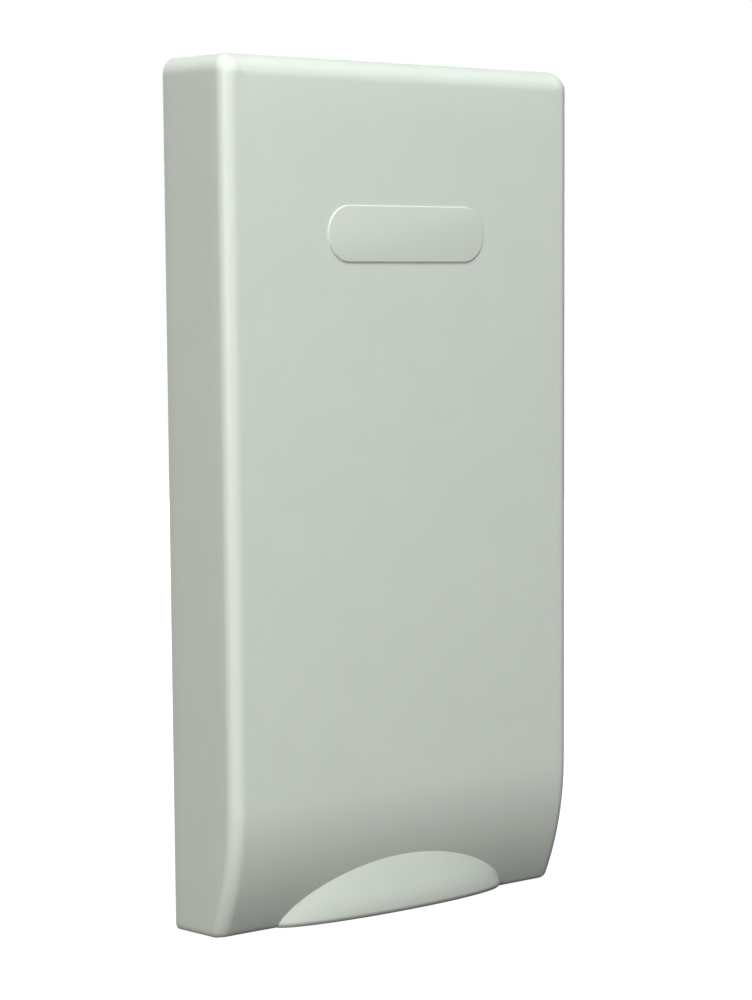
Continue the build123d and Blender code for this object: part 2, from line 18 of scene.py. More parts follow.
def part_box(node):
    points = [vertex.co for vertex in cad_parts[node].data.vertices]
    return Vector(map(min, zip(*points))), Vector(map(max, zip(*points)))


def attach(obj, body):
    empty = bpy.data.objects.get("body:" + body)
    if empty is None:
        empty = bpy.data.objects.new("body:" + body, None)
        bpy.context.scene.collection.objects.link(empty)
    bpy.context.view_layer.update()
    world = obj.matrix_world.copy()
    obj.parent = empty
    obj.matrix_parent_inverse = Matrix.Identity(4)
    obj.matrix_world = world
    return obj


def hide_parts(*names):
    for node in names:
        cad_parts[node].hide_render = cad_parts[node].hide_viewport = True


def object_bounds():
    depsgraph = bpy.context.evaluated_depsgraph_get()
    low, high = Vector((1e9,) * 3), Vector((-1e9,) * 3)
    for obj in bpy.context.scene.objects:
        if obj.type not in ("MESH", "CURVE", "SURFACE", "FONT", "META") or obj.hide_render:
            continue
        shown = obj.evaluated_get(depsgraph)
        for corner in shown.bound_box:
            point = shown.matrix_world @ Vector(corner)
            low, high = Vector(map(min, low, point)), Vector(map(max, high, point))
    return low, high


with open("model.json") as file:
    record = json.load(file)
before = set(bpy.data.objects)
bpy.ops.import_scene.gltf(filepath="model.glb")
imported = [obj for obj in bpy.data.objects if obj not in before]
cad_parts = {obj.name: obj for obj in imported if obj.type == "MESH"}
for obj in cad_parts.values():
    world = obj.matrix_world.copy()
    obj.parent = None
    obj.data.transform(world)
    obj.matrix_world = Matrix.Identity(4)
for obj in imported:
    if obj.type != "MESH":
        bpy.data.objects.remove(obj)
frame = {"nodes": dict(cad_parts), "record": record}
cad_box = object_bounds()

# ---------------------------------------------------------------------------------------------
# Wall frame: one moulding in off-white plastic, with the fine grain of a spark-eroded mould.  It
# is screwed flat on the wall, its collar stands in the wall opening, and two hooks on its top edge
# carry the hinge rod.
# ---------------------------------------------------------------------------------------------


def new_material(name):
    """A node material: the material, its object coordinates, a node maker and a feeder of its shader."""
    material = bpy.data.materials.new(name)
    material.use_nodes = True
    tree = material.node_tree
    shader = tree.nodes["Principled BSDF"]

    def plug(owner, socket, value):
        """Links a socket to an input, or sets a plain value on it."""
        if isinstance(value, bpy.types.NodeSocket):
            tree.links.new(value, owner.inputs[socket])
        else:
            owner.inputs[socket].default_value = value

    def node(kind, inputs, **settings):
        """Adds a node with its settings and inputs, and returns the output that carries its result."""
        made = tree.nodes.new(kind)
        for setting, value in settings.items():
            setattr(made, setting, value)
        for socket, value in inputs.items():
            plug(made, socket, value)
        return made.outputs[2 if kind == "ShaderNodeMix" else 0]

    def feed(**inputs):
        """Feeds the shader's inputs, with underscores for the spaces in their names."""
        for socket, value in inputs.items():
            plug(shader, socket.replace("_", " "), value)

    place = tree.nodes.new("ShaderNodeTexCoord").outputs["Object"]
    return material, place, node, feed


def rgba(red, green, blue):
    """A linear colour from sRGB values of 0 to 255."""
    return tuple((channel / 255) ** 2.2 for channel in (red, green, blue)) + (1.0,)


def spread(node, value, start, end, low, high):
    """A value carried from the range start to end over to the range low to high, and held at its ends."""
    return node("ShaderNodeMapRange", {"Value": value, "From Min": start, "From Max": end,
                                       "To Min": low, "To Max": high})


def clouds(node, place, size, low, high, detail=3.0):
    """A cloudy pattern, with blotches about size metres across, spread over low to high."""
    pattern = node("ShaderNodeTexNoise", {"Vector": place, "Scale": 1 / size, "Detail": detail})
    return spread(node, pattern, 0.3, 0.7, low, high)


def mottle(node, pattern, colour, shade):
    """Two near colours mixed by a pattern, through the mix node's colour sockets, 6 and 7."""
    return node("ShaderNodeMix", {0: pattern, 6: colour, 7: shade}, data_type="RGBA")


def moulded_plastic(name, colour, shade, roughness, grain, depth):
    """Plastic in two near shades with a mould's grain: grain is its size in metres, depth its height."""
    material, place, node, feed = new_material(name)
    feed(
        Base_Color=mottle(node, clouds(node, place, 0.012, 0.0, 1.0), colour, shade),
        Roughness=clouds(node, place, 0.006, roughness - 0.03, roughness + 0.03),
        Normal=node("ShaderNodeBump", {"Height": clouds(node, place, grain, 0.0, 1.0), "Distance": depth}),
        IOR=1.5,
    )
    return material


def merged_copy(node_name, name, material, crease=30.0):
    """A copy of a CAD node with its loose triangles joined, and shaded smooth up to an angle in degrees."""
    mesh = frame["nodes"][node_name].data.copy()
    mesh.name = name
    joined = bmesh.new()
    joined.from_mesh(mesh)
    bmesh.ops.remove_doubles(joined, verts=joined.verts, dist=1e-6)
    joined.to_mesh(mesh)
    joined.free()
    mesh.materials.clear()
    mesh.materials.append(material)
    mesh.shade_smooth()
    mesh.set_sharp_from_angle(angle=math.radians(crease))
    piece = bpy.data.objects.new(name, mesh)
    bpy.context.collection.objects.link(piece)
    return piece


def stand_for(piece, body, slot, *nodes):
    """Hangs a finished piece on the empty of the body it rides on, and hides the nodes it replaces. The
    slot argument is not used.
    """
    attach(piece, body)
    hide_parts(*nodes)


def dress(node_name, material):
    """Gives a CAD node its material."""
    mesh = frame["nodes"][node_name].data
    mesh.materials.clear()
    mesh.materials.append(material)


frame_plastic = moulded_plastic("frame_plastic", rgba(214, 219, 211), rgba(211, 216, 208),
                                roughness=0.42, grain=0.0006, depth=0.00002)
wall_frame = merged_copy("wall_frame", "wall_frame_moulding", frame_plastic)
stand_for(wall_frame, "cowl", "frame_plastic", "wall_frame")

# ---------------------------------------------------------------------------------------------
# Wall gasket and collar seal: closed-cell foam, die-cut from black sheet.  The gasket is pressed
# between the flange and the wall, and the seal is a ring stuck round the end of the collar.
# ---------------------------------------------------------------------------------------------


def cell_foam(name, colour, shade, cell):
    """Closed-cell foam: rounded cells about cell metres across, with thin walls between them."""
    material, place, node, feed = new_material(name)
    cells = node("ShaderNodeTexVoronoi", {"Vector": place, "Scale": 1 / cell}, feature="SMOOTH_F1")
    feed(
        Base_Color=mottle(node, cells, colour, shade),
        Roughness=clouds(node, place, 0.01, 0.82, 0.95),
        Normal=node("ShaderNodeBump", {"Height": cells, "Distance": 0.4 * cell}),
        Specular_IOR_Level=0.3,
    )
    return material


black_foam = cell_foam("black_foam", rgba(34, 35, 36), rgba(60, 61, 63), 0.0007)
for foam_node in ("wall_gasket", "collar_seal"):
    dress(foam_node, black_foam)

# ---------------------------------------------------------------------------------------------
# Heat gasket: pale mineral-fibre felt between the plastic frame and the hot steel plate.  It is cut
# from a sheet as one rectangular ring, and the plate's screws clamp it.
# ---------------------------------------------------------------------------------------------


def mineral_felt(name, colour, shade, fibre):
    """Felt of short fibres: two noises stretched across each other, fibre metres wide."""
    material, place, node, feed = new_material(name)
    lengthways = node("ShaderNodeMapping", {"Vector": place, "Scale": (1.0, 1.0, 0.12)})
    crossways = node("ShaderNodeMapping", {"Vector": place, "Scale": (0.12, 1.0, 1.0)})
    fibres = node("ShaderNodeMath", {0: clouds(node, lengthways, fibre, 0.0, 1.0),
                                     1: clouds(node, crossways, fibre, 0.0, 1.0)},
                  operation="MAXIMUM")
    feed(
        Base_Color=mottle(node, fibres, colour, shade),
        Roughness=clouds(node, place, 0.004, 0.88, 0.98),
        Normal=node("ShaderNodeBump", {"Height": fibres, "Distance": 0.00015}),
        Specular_IOR_Level=0.2,
        Sheen_Weight=0.3,
    )
    return material


dress("heat_gasket", mineral_felt("mineral_felt", rgba(176, 170, 158), rgba(226, 221, 210), 0.0003))

# ---------------------------------------------------------------------------------------------
# Duct plate, flue flange, baffle, divider and screen frame: pressed from brushed stainless sheet,
# a little straw-coloured near the flue, where the exhaust heats it.
# ---------------------------------------------------------------------------------------------

flue_low, flue_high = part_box("flue_tube")
flue_level = (flue_low.z + flue_high.z) / 2


def brushed_steel(name, roughness, along):
    """Steel brushed along an axis (0 for x, 1 for y, 2 for z), tinted by its distance from the flue."""
    material, place, node, feed = new_material(name)
    squeeze = [1.0, 1.0, 1.0]
    squeeze[along] = 0.015
    brushed = node("ShaderNodeMapping", {"Vector": place, "Scale": squeeze})
    streaks = clouds(node, brushed, 0.00025, 0.0, 1.0, detail=4.0)
    flue_mouth = (0.0, flue_low.y, flue_level)
    from_flue = node("ShaderNodeVectorMath", {0: place, 1: flue_mouth}, operation="DISTANCE")
    heat = spread(node, from_flue.node.outputs["Value"], 0.022, 0.06, 1.0, 0.0)
    feed(
        Base_Color=mottle(node, heat, rgba(196, 198, 200), rgba(205, 190, 160)),
        Metallic=1.0,
        Roughness=spread(node, streaks, 0.0, 1.0, roughness - 0.08, roughness + 0.1),
        Normal=node("ShaderNodeBump", {"Height": streaks, "Distance": 0.00001}),
        Anisotropic=0.6,
    )
    return material


steel_up = brushed_steel("steel_brushed_up", 0.34, 2)
steel_across = brushed_steel("steel_brushed_across", 0.34, 0)
for steel_node in ("duct_plate", "flue_baffle"):
    dress(steel_node, steel_up)
for steel_node in ("divider", "flue_flange", "screen_frame"):
    dress(steel_node, steel_across)

# ---------------------------------------------------------------------------------------------
# Flue tube: drawn from thin stainless, with a lip in front of the plate.  The exhaust leaves
# through it, and its end in the wall carries a ring seal of red silicone.
# ---------------------------------------------------------------------------------------------


def shell_piece(name, sheets, material, crease=30.0):
    """A closed mesh from sheets of points, shaped (rows, columns, 3) and given as (x, out, z).

    Each sheet becomes quads between neighbouring points.  Points that meet are merged, which joins
    the sheets and closes seams and poles, and then every shell is turned to face outwards.
    """
    points, faces, first = [], [], 0
    for sheet in sheets:
        rows, columns = sheet.shape[:2]
        index = first + np.arange(rows * columns).reshape(rows, columns)
        quads = np.stack([index[:-1, :-1], index[:-1, 1:], index[1:, 1:], index[1:, :-1]], -1)
        points.append(sheet.reshape(-1, 3))
        faces.append(quads.reshape(-1, 4))
        first += rows * columns
    mesh = bpy.data.meshes.new(name)
    mesh.from_pydata(np.concatenate(points) * (0.001, -0.001, 0.001), [], np.concatenate(faces))
    shell = bmesh.new()
    shell.from_mesh(mesh)
    bmesh.ops.remove_doubles(shell, verts=shell.verts, dist=2e-6)
    bmesh.ops.dissolve_degenerate(shell, edges=shell.edges, dist=1e-7)
    bmesh.ops.recalc_face_normals(shell, faces=shell.faces)
    shell.to_mesh(mesh)
    shell.free()
    mesh.materials.append(material)
    mesh.shade_smooth()
    mesh.set_sharp_from_angle(angle=math.radians(crease))
    piece = bpy.data.objects.new(name, mesh)
    bpy.context.collection.objects.link(piece)
    return piece


def turned(profile, centre, steps=72, along_x=False):
    """A lathe shape: each (radius, place along the axis) of the profile is swept round the axis.

    The axis runs out of the wall through centre (x, out, z), or along x.
    """
    radius, along = np.array(profile, float).T[:, :, None]
    angle = np.linspace(0, 2 * np.pi, steps + 1)
    level, middle = np.zeros_like(angle), np.array(centre, float)
    first, second = radius * np.cos(angle), radius * np.sin(angle)
    order = (along + level, first, second) if along_x else (first, along + level, second)
    return np.stack(order, -1) + middle


def corner_round(start, corner, end, radius, steps=5):
    """Points of a rounded profile corner: a quadratic curve from radius before it to radius past it."""
    start, corner, end = np.array(start, float), np.array(corner, float), np.array(end, float)
    before = corner + radius * (start - corner) / np.linalg.norm(start - corner)
    after = corner + radius * (end - corner) / np.linalg.norm(end - corner)
    share = np.linspace(0, 1, steps)[:, None]
    return (1 - share) ** 2 * before + 2 * share * (1 - share) * corner + share**2 * after


def eased(profile, radius, closed=False):
    """A profile with each of its corners rounded to a radius, apart from its ends where it is open."""
    points = [np.array(point, float) for point in profile]
    count = len(points)
    if closed:
        rounded = [corner_round(points[i - 1], points[i], points[(i + 1) % count], radius)
                   for i in range(count)]
        return np.concatenate(rounded + [rounded[0][:1]])
    rounded = [corner_round(points[i - 1], points[i], points[i + 1], radius) for i in range(1, count - 1)]
    return np.concatenate([[points[0]], *rounded, [points[-1]]])


tube_low, tube_high = 1000 * np.array(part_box("flue_tube"))
flue_z = (tube_low[2] + tube_high[2]) / 2
flue_radius, flue_wall, lip_width = 20.0, 0.8, 2.0
lip_out = 1000 * -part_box("duct_plate")[0].y
flue_profile = eased(
    [
        (flue_radius - flue_wall, -tube_high[1]),
        (flue_radius - flue_wall, -tube_low[1]),
        (flue_radius, -tube_low[1]),
        (flue_radius, lip_out + flue_wall),
        (flue_radius + lip_width, lip_out + flue_wall),
        (flue_radius + lip_width, lip_out),
        (flue_radius, lip_out),
        (flue_radius, -tube_high[1]),
    ],
    0.15,
    closed=True,
)
flue_steel = brushed_steel("flue_steel", 0.3, 1)
flue_tube = shell_piece("flue_tube_drawn", [turned(flue_profile, (0, 0, flue_z), 128)], flue_steel)
stand_for(flue_tube, "cowl", "stainless", "flue_tube")


def moulded_rubber(name, colour, shade, roughness, sheen):
    """Rubber with a soft sheen and faint dusty blotches."""
    material, place, node, feed = new_material(name)
    feed(
        Base_Color=mottle(node, clouds(node, place, 0.004, 0.0, 1.0), colour, shade),
        Roughness=clouds(node, place, 0.002, roughness - 0.06, roughness + 0.08),
        Normal=node("ShaderNodeBump", {"Height": clouds(node, place, 0.0004, 0.0, 1.0),
                                       "Distance": 0.00001}),
        Sheen_Weight=sheen,
    )
    return material


seal_low, seal_high = 1000 * np.array(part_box("flue_seal"))
seal_cord = (seal_high[1] - seal_low[1]) / 2
seal_turn = np.linspace(0, 2 * np.pi, 25)
seal_profile = np.stack(
    [seal_high[0] - seal_cord + seal_cord * np.cos(seal_turn),
     -(seal_low[1] + seal_high[1]) / 2 + seal_cord * np.sin(seal_turn)], 1)
seal_profile[:, 0] = np.maximum(seal_profile[:, 0], flue_radius + 0.01)
red_silicone = moulded_rubber("red_silicone", rgba(150, 52, 34), rgba(134, 44, 28),
                              roughness=0.4, sheen=0.2)
flue_seal = shell_piece("flue_seal_ring", [turned(seal_profile, (0, 0, flue_z), 128)], red_silicone)
stand_for(flue_seal, "cowl", "silicone", "flue_seal")

# ---------------------------------------------------------------------------------------------
# Intake screen: woven stainless wire that keeps insects out of the air intake.  Its wires pass
# over and under each other, and the riveted frame clamps their ends.
# ---------------------------------------------------------------------------------------------


def stretched(sections):
    """A closed body through like sections, shaped (sections, corners, 3), with flat ends."""
    sections = np.asarray(sections, float)
    ring = np.concatenate([sections, sections[:, :1]], 1)
    middles = np.broadcast_to(ring[:, :-1].mean(1, keepdims=True), ring.shape)
    return np.concatenate([middles[:1], ring, middles[-1:]])


def woven_wire(low, high, at, phase, upright):
    """One wire as a tube of six sides: its middle is a cosine wave, one crest at every other crossing.

    It runs from low to high at a fixed place beside its neighbours, up the screen or across it.
    """
    run = np.linspace(low, high, 4 * round((high - low) / wire_pitch) + 1)
    wave = screen_out + wire_crimp * np.cos(np.pi * (run / wire_pitch + phase))
    around = np.radians(np.arange(30, 390, 60))
    beside = at + wire_radius * np.cos(around) + 0 * run[:, None]
    out = wave[:, None] + wire_radius * np.sin(around)
    along = run[:, None] + 0 * around
    return stretched(np.stack([beside, out, along] if upright else [along, out, beside], -1))


screen_low, screen_high = 1000 * np.array(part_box("intake_screen"))
screen_out = -(screen_low[1] + screen_high[1]) / 2
wire_pitch, wire_radius, wire_crimp = 2.0, 0.2, 0.1
columns = np.arange(screen_low[0] + 1, screen_high[0], wire_pitch)
rows = np.arange(screen_low[2] + 1, screen_high[2], wire_pitch)
wires = [woven_wire(screen_low[2], screen_high[2], x, i - screen_low[2] / wire_pitch - 0.5, True)
         for i, x in enumerate(columns)]
wires += [woven_wire(screen_low[0], screen_high[0], z, i - screen_low[0] / wire_pitch + 0.5, False)
          for i, z in enumerate(rows)]


def drawn_wire(name, roughness):
    """Bright drawn steel wire, a little uneven in gloss from one spot to the next."""
    material, place, node, feed = new_material(name)
    bright, dull = rgba(190, 191, 190), rgba(168, 169, 168)
    feed(
        Base_Color=mottle(node, clouds(node, place, 0.006, 0.0, 1.0), bright, dull),
        Metallic=1.0,
        Roughness=clouds(node, place, 0.0015, roughness - 0.06, roughness + 0.08),
    )
    return material


screen_mesh = shell_piece("intake_screen_woven", wires, drawn_wire("screen_wire", 0.36), crease=80.0)
stand_for(screen_mesh, "cowl", "screen_wire", "intake_screen")

# ---------------------------------------------------------------------------------------------
# Front grille: a light grey moulding with two columns of slots, screwed on the upstand.  The air
# goes in through its lower half, and the exhaust comes out through its upper half.
# ---------------------------------------------------------------------------------------------

grille_plastic = moulded_plastic("grille_plastic", rgba(186, 190, 187), rgba(176, 180, 177),
                                 roughness=0.5, grain=0.0005, depth=0.00003)
grille = merged_copy("front_grille", "front_grille_moulding", grille_plastic)
stand_for(grille, "cowl", "grille_plastic", "front_grille")

# ---------------------------------------------------------------------------------------------
# Screws: six countersunk ones hold the frame on the wall, four pan heads the duct plate and four
# the grille.  All are stainless, with a pressed cross recess, and the wall screws show their thread.
# ---------------------------------------------------------------------------------------------


def about_axis(radius, out):
    """Rings about a screw's own axis: at each angle of screw_turn, radius times its cosine and sine."""
    return np.stack([radius * np.cos(screw_turn), out + 0 * screw_turn, radius * np.sin(screw_turn)], -1)


def cross_recess(reach, depth, face_out, edge):
    """The top of a screw head: nested outlines from the floor of a cross recess out to its edge.

    The cross is two bars, so its outline at an angle is the farther of the two bars' edges.  Each
    entry of edge is a (radius, out) circle that the outline grows into.
    """
    across, up = np.abs(np.cos(screw_turn)) + 1e-9, np.abs(np.sin(screw_turn)) + 1e-9
    bar = 0.287 * reach
    cross = np.maximum(np.minimum(reach / across, bar / up), np.minimum(bar / across, reach / up))
    rings = [(0 * cross, face_out - depth), (0.55 * cross, face_out - depth),
             (0.92 * cross, face_out - 0.1), (cross, face_out), *edge]
    return np.stack([about_axis(radius, out) for radius, out in rings])


def thread(radius, depth, pitch, start, end):
    """A screw thread: the radius is a wave of the place along the screw less the share of a turn."""
    along = np.linspace(start, end, round(abs(end - start) / pitch * 8) + 1)[:, None]
    wave = np.abs(2 * ((along / pitch - screw_turn / (2 * np.pi)) % 1) - 1)
    size = (radius - depth * (1 - wave)) * np.clip((along - end) / 3.0, 0.08, 1.0)
    winding = about_axis(size, along)
    tip = np.broadcast_to([0.0, end, 0.0], winding[-1:].shape)
    return np.concatenate([winding, tip])


def pan_screw(face_out, tip_out):
    """A pan head screw: cross recess, domed head and plain shank, about its own axis."""
    head = [(2.0, face_out + 1.58), (2.3, face_out + 1.45), (2.62, face_out + 1.1),
            (2.78, face_out + 0.65), (pan_radius, face_out + 0.1), (2.75, face_out)]
    shank = [(1.45, face_out), (1.45, tip_out + 0.6), (1.0, tip_out), (0, tip_out)]
    return cross_recess(1.55, 1.0, face_out + pan_height, head + shank)


# angles round a screw: even ones, and those of the ends of the cross
even_turn, bar_ends = np.arange(0, 360, 11.25), (np.arange(0, 360, 90)[:, None] + [-16, 16]) % 360
screw_turn = np.radians(np.append(np.union1d(even_turn, bar_ends), 360))
pan_radius, pan_height = 2.8, 1.6
screw_steel = drawn_wire("screw_steel", 0.26)
fixings = {fixing["name"]: fixing["dims"] for fixing in frame["record"]["mounts"]}
corner_x = fixings["wall_screws_corners"]["spacing_x_mm"] / 2
corner_z = fixings["wall_screws_corners"]["spacing_y_mm"] / 2
middle_x = fixings["wall_screws_middle"]["pcd_mm"] / 2
wall_points = [(x, z) for x in (-corner_x, corner_x) for z in (-corner_z, corner_z)]
wall_points += [(-middle_x, 0.0), (middle_x, 0.0)]
flange_out, wall_screw_tip = 6.0, 1000 * -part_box("wall_screws")[1].y
sunk_head = [(3.4, flange_out - 0.02), (3.85, flange_out - 0.1), (3.9, flange_out - 0.2),
             (2.25, flange_out - 1.65), (2.25, 0.0), (2.0, -0.25)]
sunk_screw = np.concatenate([cross_recess(2.2, 1.4, flange_out - 0.02, sunk_head),
                             thread(2.0, 0.45, 1.4, -0.25, wall_screw_tip)])


def placed(sheet, points):
    """The same sheet of points at each (x, z) place."""
    return [sheet + (x, 0.0, z) for x, z in points]


wall_screws = shell_piece("wall_screws_turned", placed(sunk_screw, wall_points), screw_steel)
stand_for(wall_screws, "cowl", "screw_steel", "wall_screws")

for screws_node, tip_out in (("plate_screws", -2.0), ("grille_screws", 11.0)):
    screws_low, screws_high = 1000 * np.array(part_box(screws_node))
    spots = [(x, z) for x in (screws_low[0] + pan_radius, screws_high[0] - pan_radius)
             for z in (screws_low[2] + pan_radius, screws_high[2] - pan_radius)]
    pans = placed(pan_screw(-screws_low[1] - pan_height, tip_out), spots)
    stand_for(shell_piece(screws_node + "_turned", pans, screw_steel), "cowl", "screw_steel", screws_node)

# ---------------------------------------------------------------------------------------------
# Rivets: blind stainless rivets hold the flue's flange, baffle, divider and screen frame on the
# duct plate.  Each has a domed head with the end of its broken-off pin in it, and a round tail.
# ---------------------------------------------------------------------------------------------


def blind_rivet(face_out, back_out):
    """A rivet set through sheets between two faces: pin end, domed head, shank and swollen tail."""
    head = [(0, 0.55), (0.5, 0.55), (0.55, 0.5), (0.55, 0.88), (0.75, 0.9), (1.38, 0.82), (1.9, 0.55),
            (2.25, 0.15), (2.3, 0), (1.2, 0)]
    tail = [(1.2, 0), (1.55, -0.05), (1.7, -0.35), (1.6, -0.75), (1.2, -0.98), (0.5, -1.0), (0, -0.9)]
    profile = np.concatenate([np.add(head, (0, face_out)), np.add(tail, (0, back_out))])
    return turned(profile, (0, 0, 0), 32)


def middle_and_half(node_name):
    """The middle and half size of a node's box, across and up, in millimetres."""
    low, high = 1000 * np.array(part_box(node_name))
    return (low[0] + high[0]) / 2, (low[2] + high[2]) / 2, (high[0] - low[0]) / 2, (high[2] - low[2]) / 2


plate_back, plate_face = (-1000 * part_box("duct_plate")[end].y for end in (1, 0))
_, _, flange_half, _ = middle_and_half("flue_flange")
_, baffle_z, baffle_half_x, baffle_half_z = middle_and_half("flue_baffle")
_, frame_z, frame_half_x, frame_half_z = middle_and_half("screen_frame")
divider_foot, screen_face = 1000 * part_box("divider")[0].z, -1000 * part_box("screen_frame")[0].y
sheet_face, flange_back = plate_face + 0.8, plate_back - 2.0
flange_inset, baffle_inset, frame_inset = 3.0, 3.5, 2.0
frame_x, frame_rise = frame_half_x - frame_inset, frame_half_z - frame_inset
rivet_rows = (
    (plate_face, flange_back, [(side * (flange_half - flange_inset), flue_z) for side in (-1, 1)]),
    (sheet_face, plate_back, [(side * baffle_half_x / 2, baffle_z + end * (baffle_half_z - baffle_inset))
                              for side in (-1, 1) for end in (-1, 1)]),
    (sheet_face, plate_back, [(side * baffle_half_x, divider_foot / 2) for side in (-1, 1)]),
    (screen_face, plate_back, [(side * frame_x, frame_z + end * frame_rise)
                               for side in (-1, 1) for end in (-1, 1)]),
)
rivet_shells = [rivet for face, back, points in rivet_rows
                for rivet in placed(blind_rivet(face, back), points)]
rivets = shell_piece("rivets_set", rivet_shells, screw_steel)
stand_for(rivets, "cowl", "screw_steel", "rivets")

# ---------------------------------------------------------------------------------------------
# Hinge rod and its caps: a straightened stainless wire that lies in the frame's hooks, with a
# rubber cap pushed on each end so that the cover can't slip off sideways.
# ---------------------------------------------------------------------------------------------

rod_low, rod_high = 1000 * np.array(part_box("hinge_rod"))
rod_out, rod_z = -(rod_low[1] + rod_high[1]) / 2, (rod_low[2] + rod_high[2]) / 2
rod_end, rod_radius = rod_high[0], (rod_high[2] - rod_low[2]) / 2
rod_bevel = 0.35
rod_profile = [(0, -rod_end), (rod_radius - rod_bevel, -rod_end), (rod_radius, rod_bevel - rod_end),
               (rod_radius, 0), (rod_radius, rod_end - rod_bevel), (rod_radius - rod_bevel, rod_end),
               (0, rod_end)]
hinge_rod = shell_piece("hinge_rod_wire", [turned(rod_profile, (0, rod_out, rod_z), 48, True)],
                        drawn_wire("rod_steel", 0.24))
stand_for(hinge_rod, "rod", "rod_steel", "hinge_rod")

cap_low, cap_high = 1000 * np.array(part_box("rod_caps"))
cap_radius, cap_end = (cap_high[2] - cap_low[2]) / 2, cap_high[0]
cap_mouth = cap_end - 3.0
cap_profile = eased([(rod_radius, rod_end), (rod_radius, cap_mouth), (cap_radius, cap_mouth),
                     (cap_radius, cap_end), (0, cap_end)], 0.5)
cap_profile = np.concatenate([[(0, rod_end)], cap_profile])
black_rubber = moulded_rubber("black_rubber", rgba(38, 38, 39), rgba(50, 50, 51), roughness=0.62, sheen=0.1)
cap_shells = [turned(cap_profile * (1, side), (0, rod_out, rod_z), 48, True) for side in (-1, 1)]
caps = shell_piece("rod_caps_moulded", cap_shells, black_rubber)
stand_for(caps, "rod", "rubber", "rod_caps")

# ---------------------------------------------------------------------------------------------
# Cover: one thin moulding in satin off-white plastic.  Its front is flat, sweeps back over the
# foot, and swells there into a half-moon finger grip that is open from below.  Eyes inside its
# head hold the rod, and two snap noses inside its skirt click behind the frame.
# ---------------------------------------------------------------------------------------------

cover_low, cover_high = 1000 * np.array(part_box("cover_shell"))
badge_raise = 0.4
rim_out, front_out = -cover_high[1], -cover_low[1] - badge_raise
foot_z, head_z, head_half = cover_low[2], cover_high[2], cover_high[0]
head_corner, corner_radius, head_edge, side_edge = 6.5, 5.0, 6.5, 4.0
side_lean = 1.3 / (head_z - foot_z)
sweep_height, sweep_setback = 38.0, 8.6
sweep_radius = (sweep_height**2 + sweep_setback**2) / (2 * sweep_setback)
sweep_top = foot_z + sweep_height
grip_half, grip_reach, grip_lean = 44.0, 8.9, math.tan(math.radians(9.0))
cover_wall, grip_wall = 2.5, 2.2
foot_round, inner_round, rim_round = 1.7, 0.4, 0.5
lip_turn, lip_drop = 7.0, 0.9


def skin_out(level, inset):
    """Distance out of the front at a level: flat, then back on a circle below the sweep's top."""
    below = np.minimum(0.0, level - sweep_top)
    return front_out - sweep_radius + np.sqrt((sweep_radius - inset) ** 2 - below**2)


def grip_out(x, level, inset):
    """Distance out of the grip: an ellipse in plan, leaning back towards the wall as it rises.

    Just above its lip it turns in by a parabola.
    """
    across = np.sqrt(np.clip(1 - (x / (grip_half - inset)) ** 2, 0, 1))
    turned_in = lip_drop * np.clip(1 - (level - foot_z) / lip_turn, 0, 1) ** 2
    leaning = front_out - grip_reach - inset - grip_lean * (level - foot_z)
    return leaning + (grip_reach - turned_in) * across


def grip_arch(x, inset, grip_inset, floor):
    """Level at which the grip runs into the front, found by halving: the floor where it stays behind."""
    low, high = np.full_like(x, floor), np.full_like(x, sweep_top)
    for _ in range(40):
        middle = (low + high) / 2
        proud = grip_out(x, middle, grip_inset) > skin_out(middle, inset)
        low, high = np.where(proud, middle, low), np.where(proud, high, middle)
    return np.where(high - floor < 1e-6, floor, (low + high) / 2)


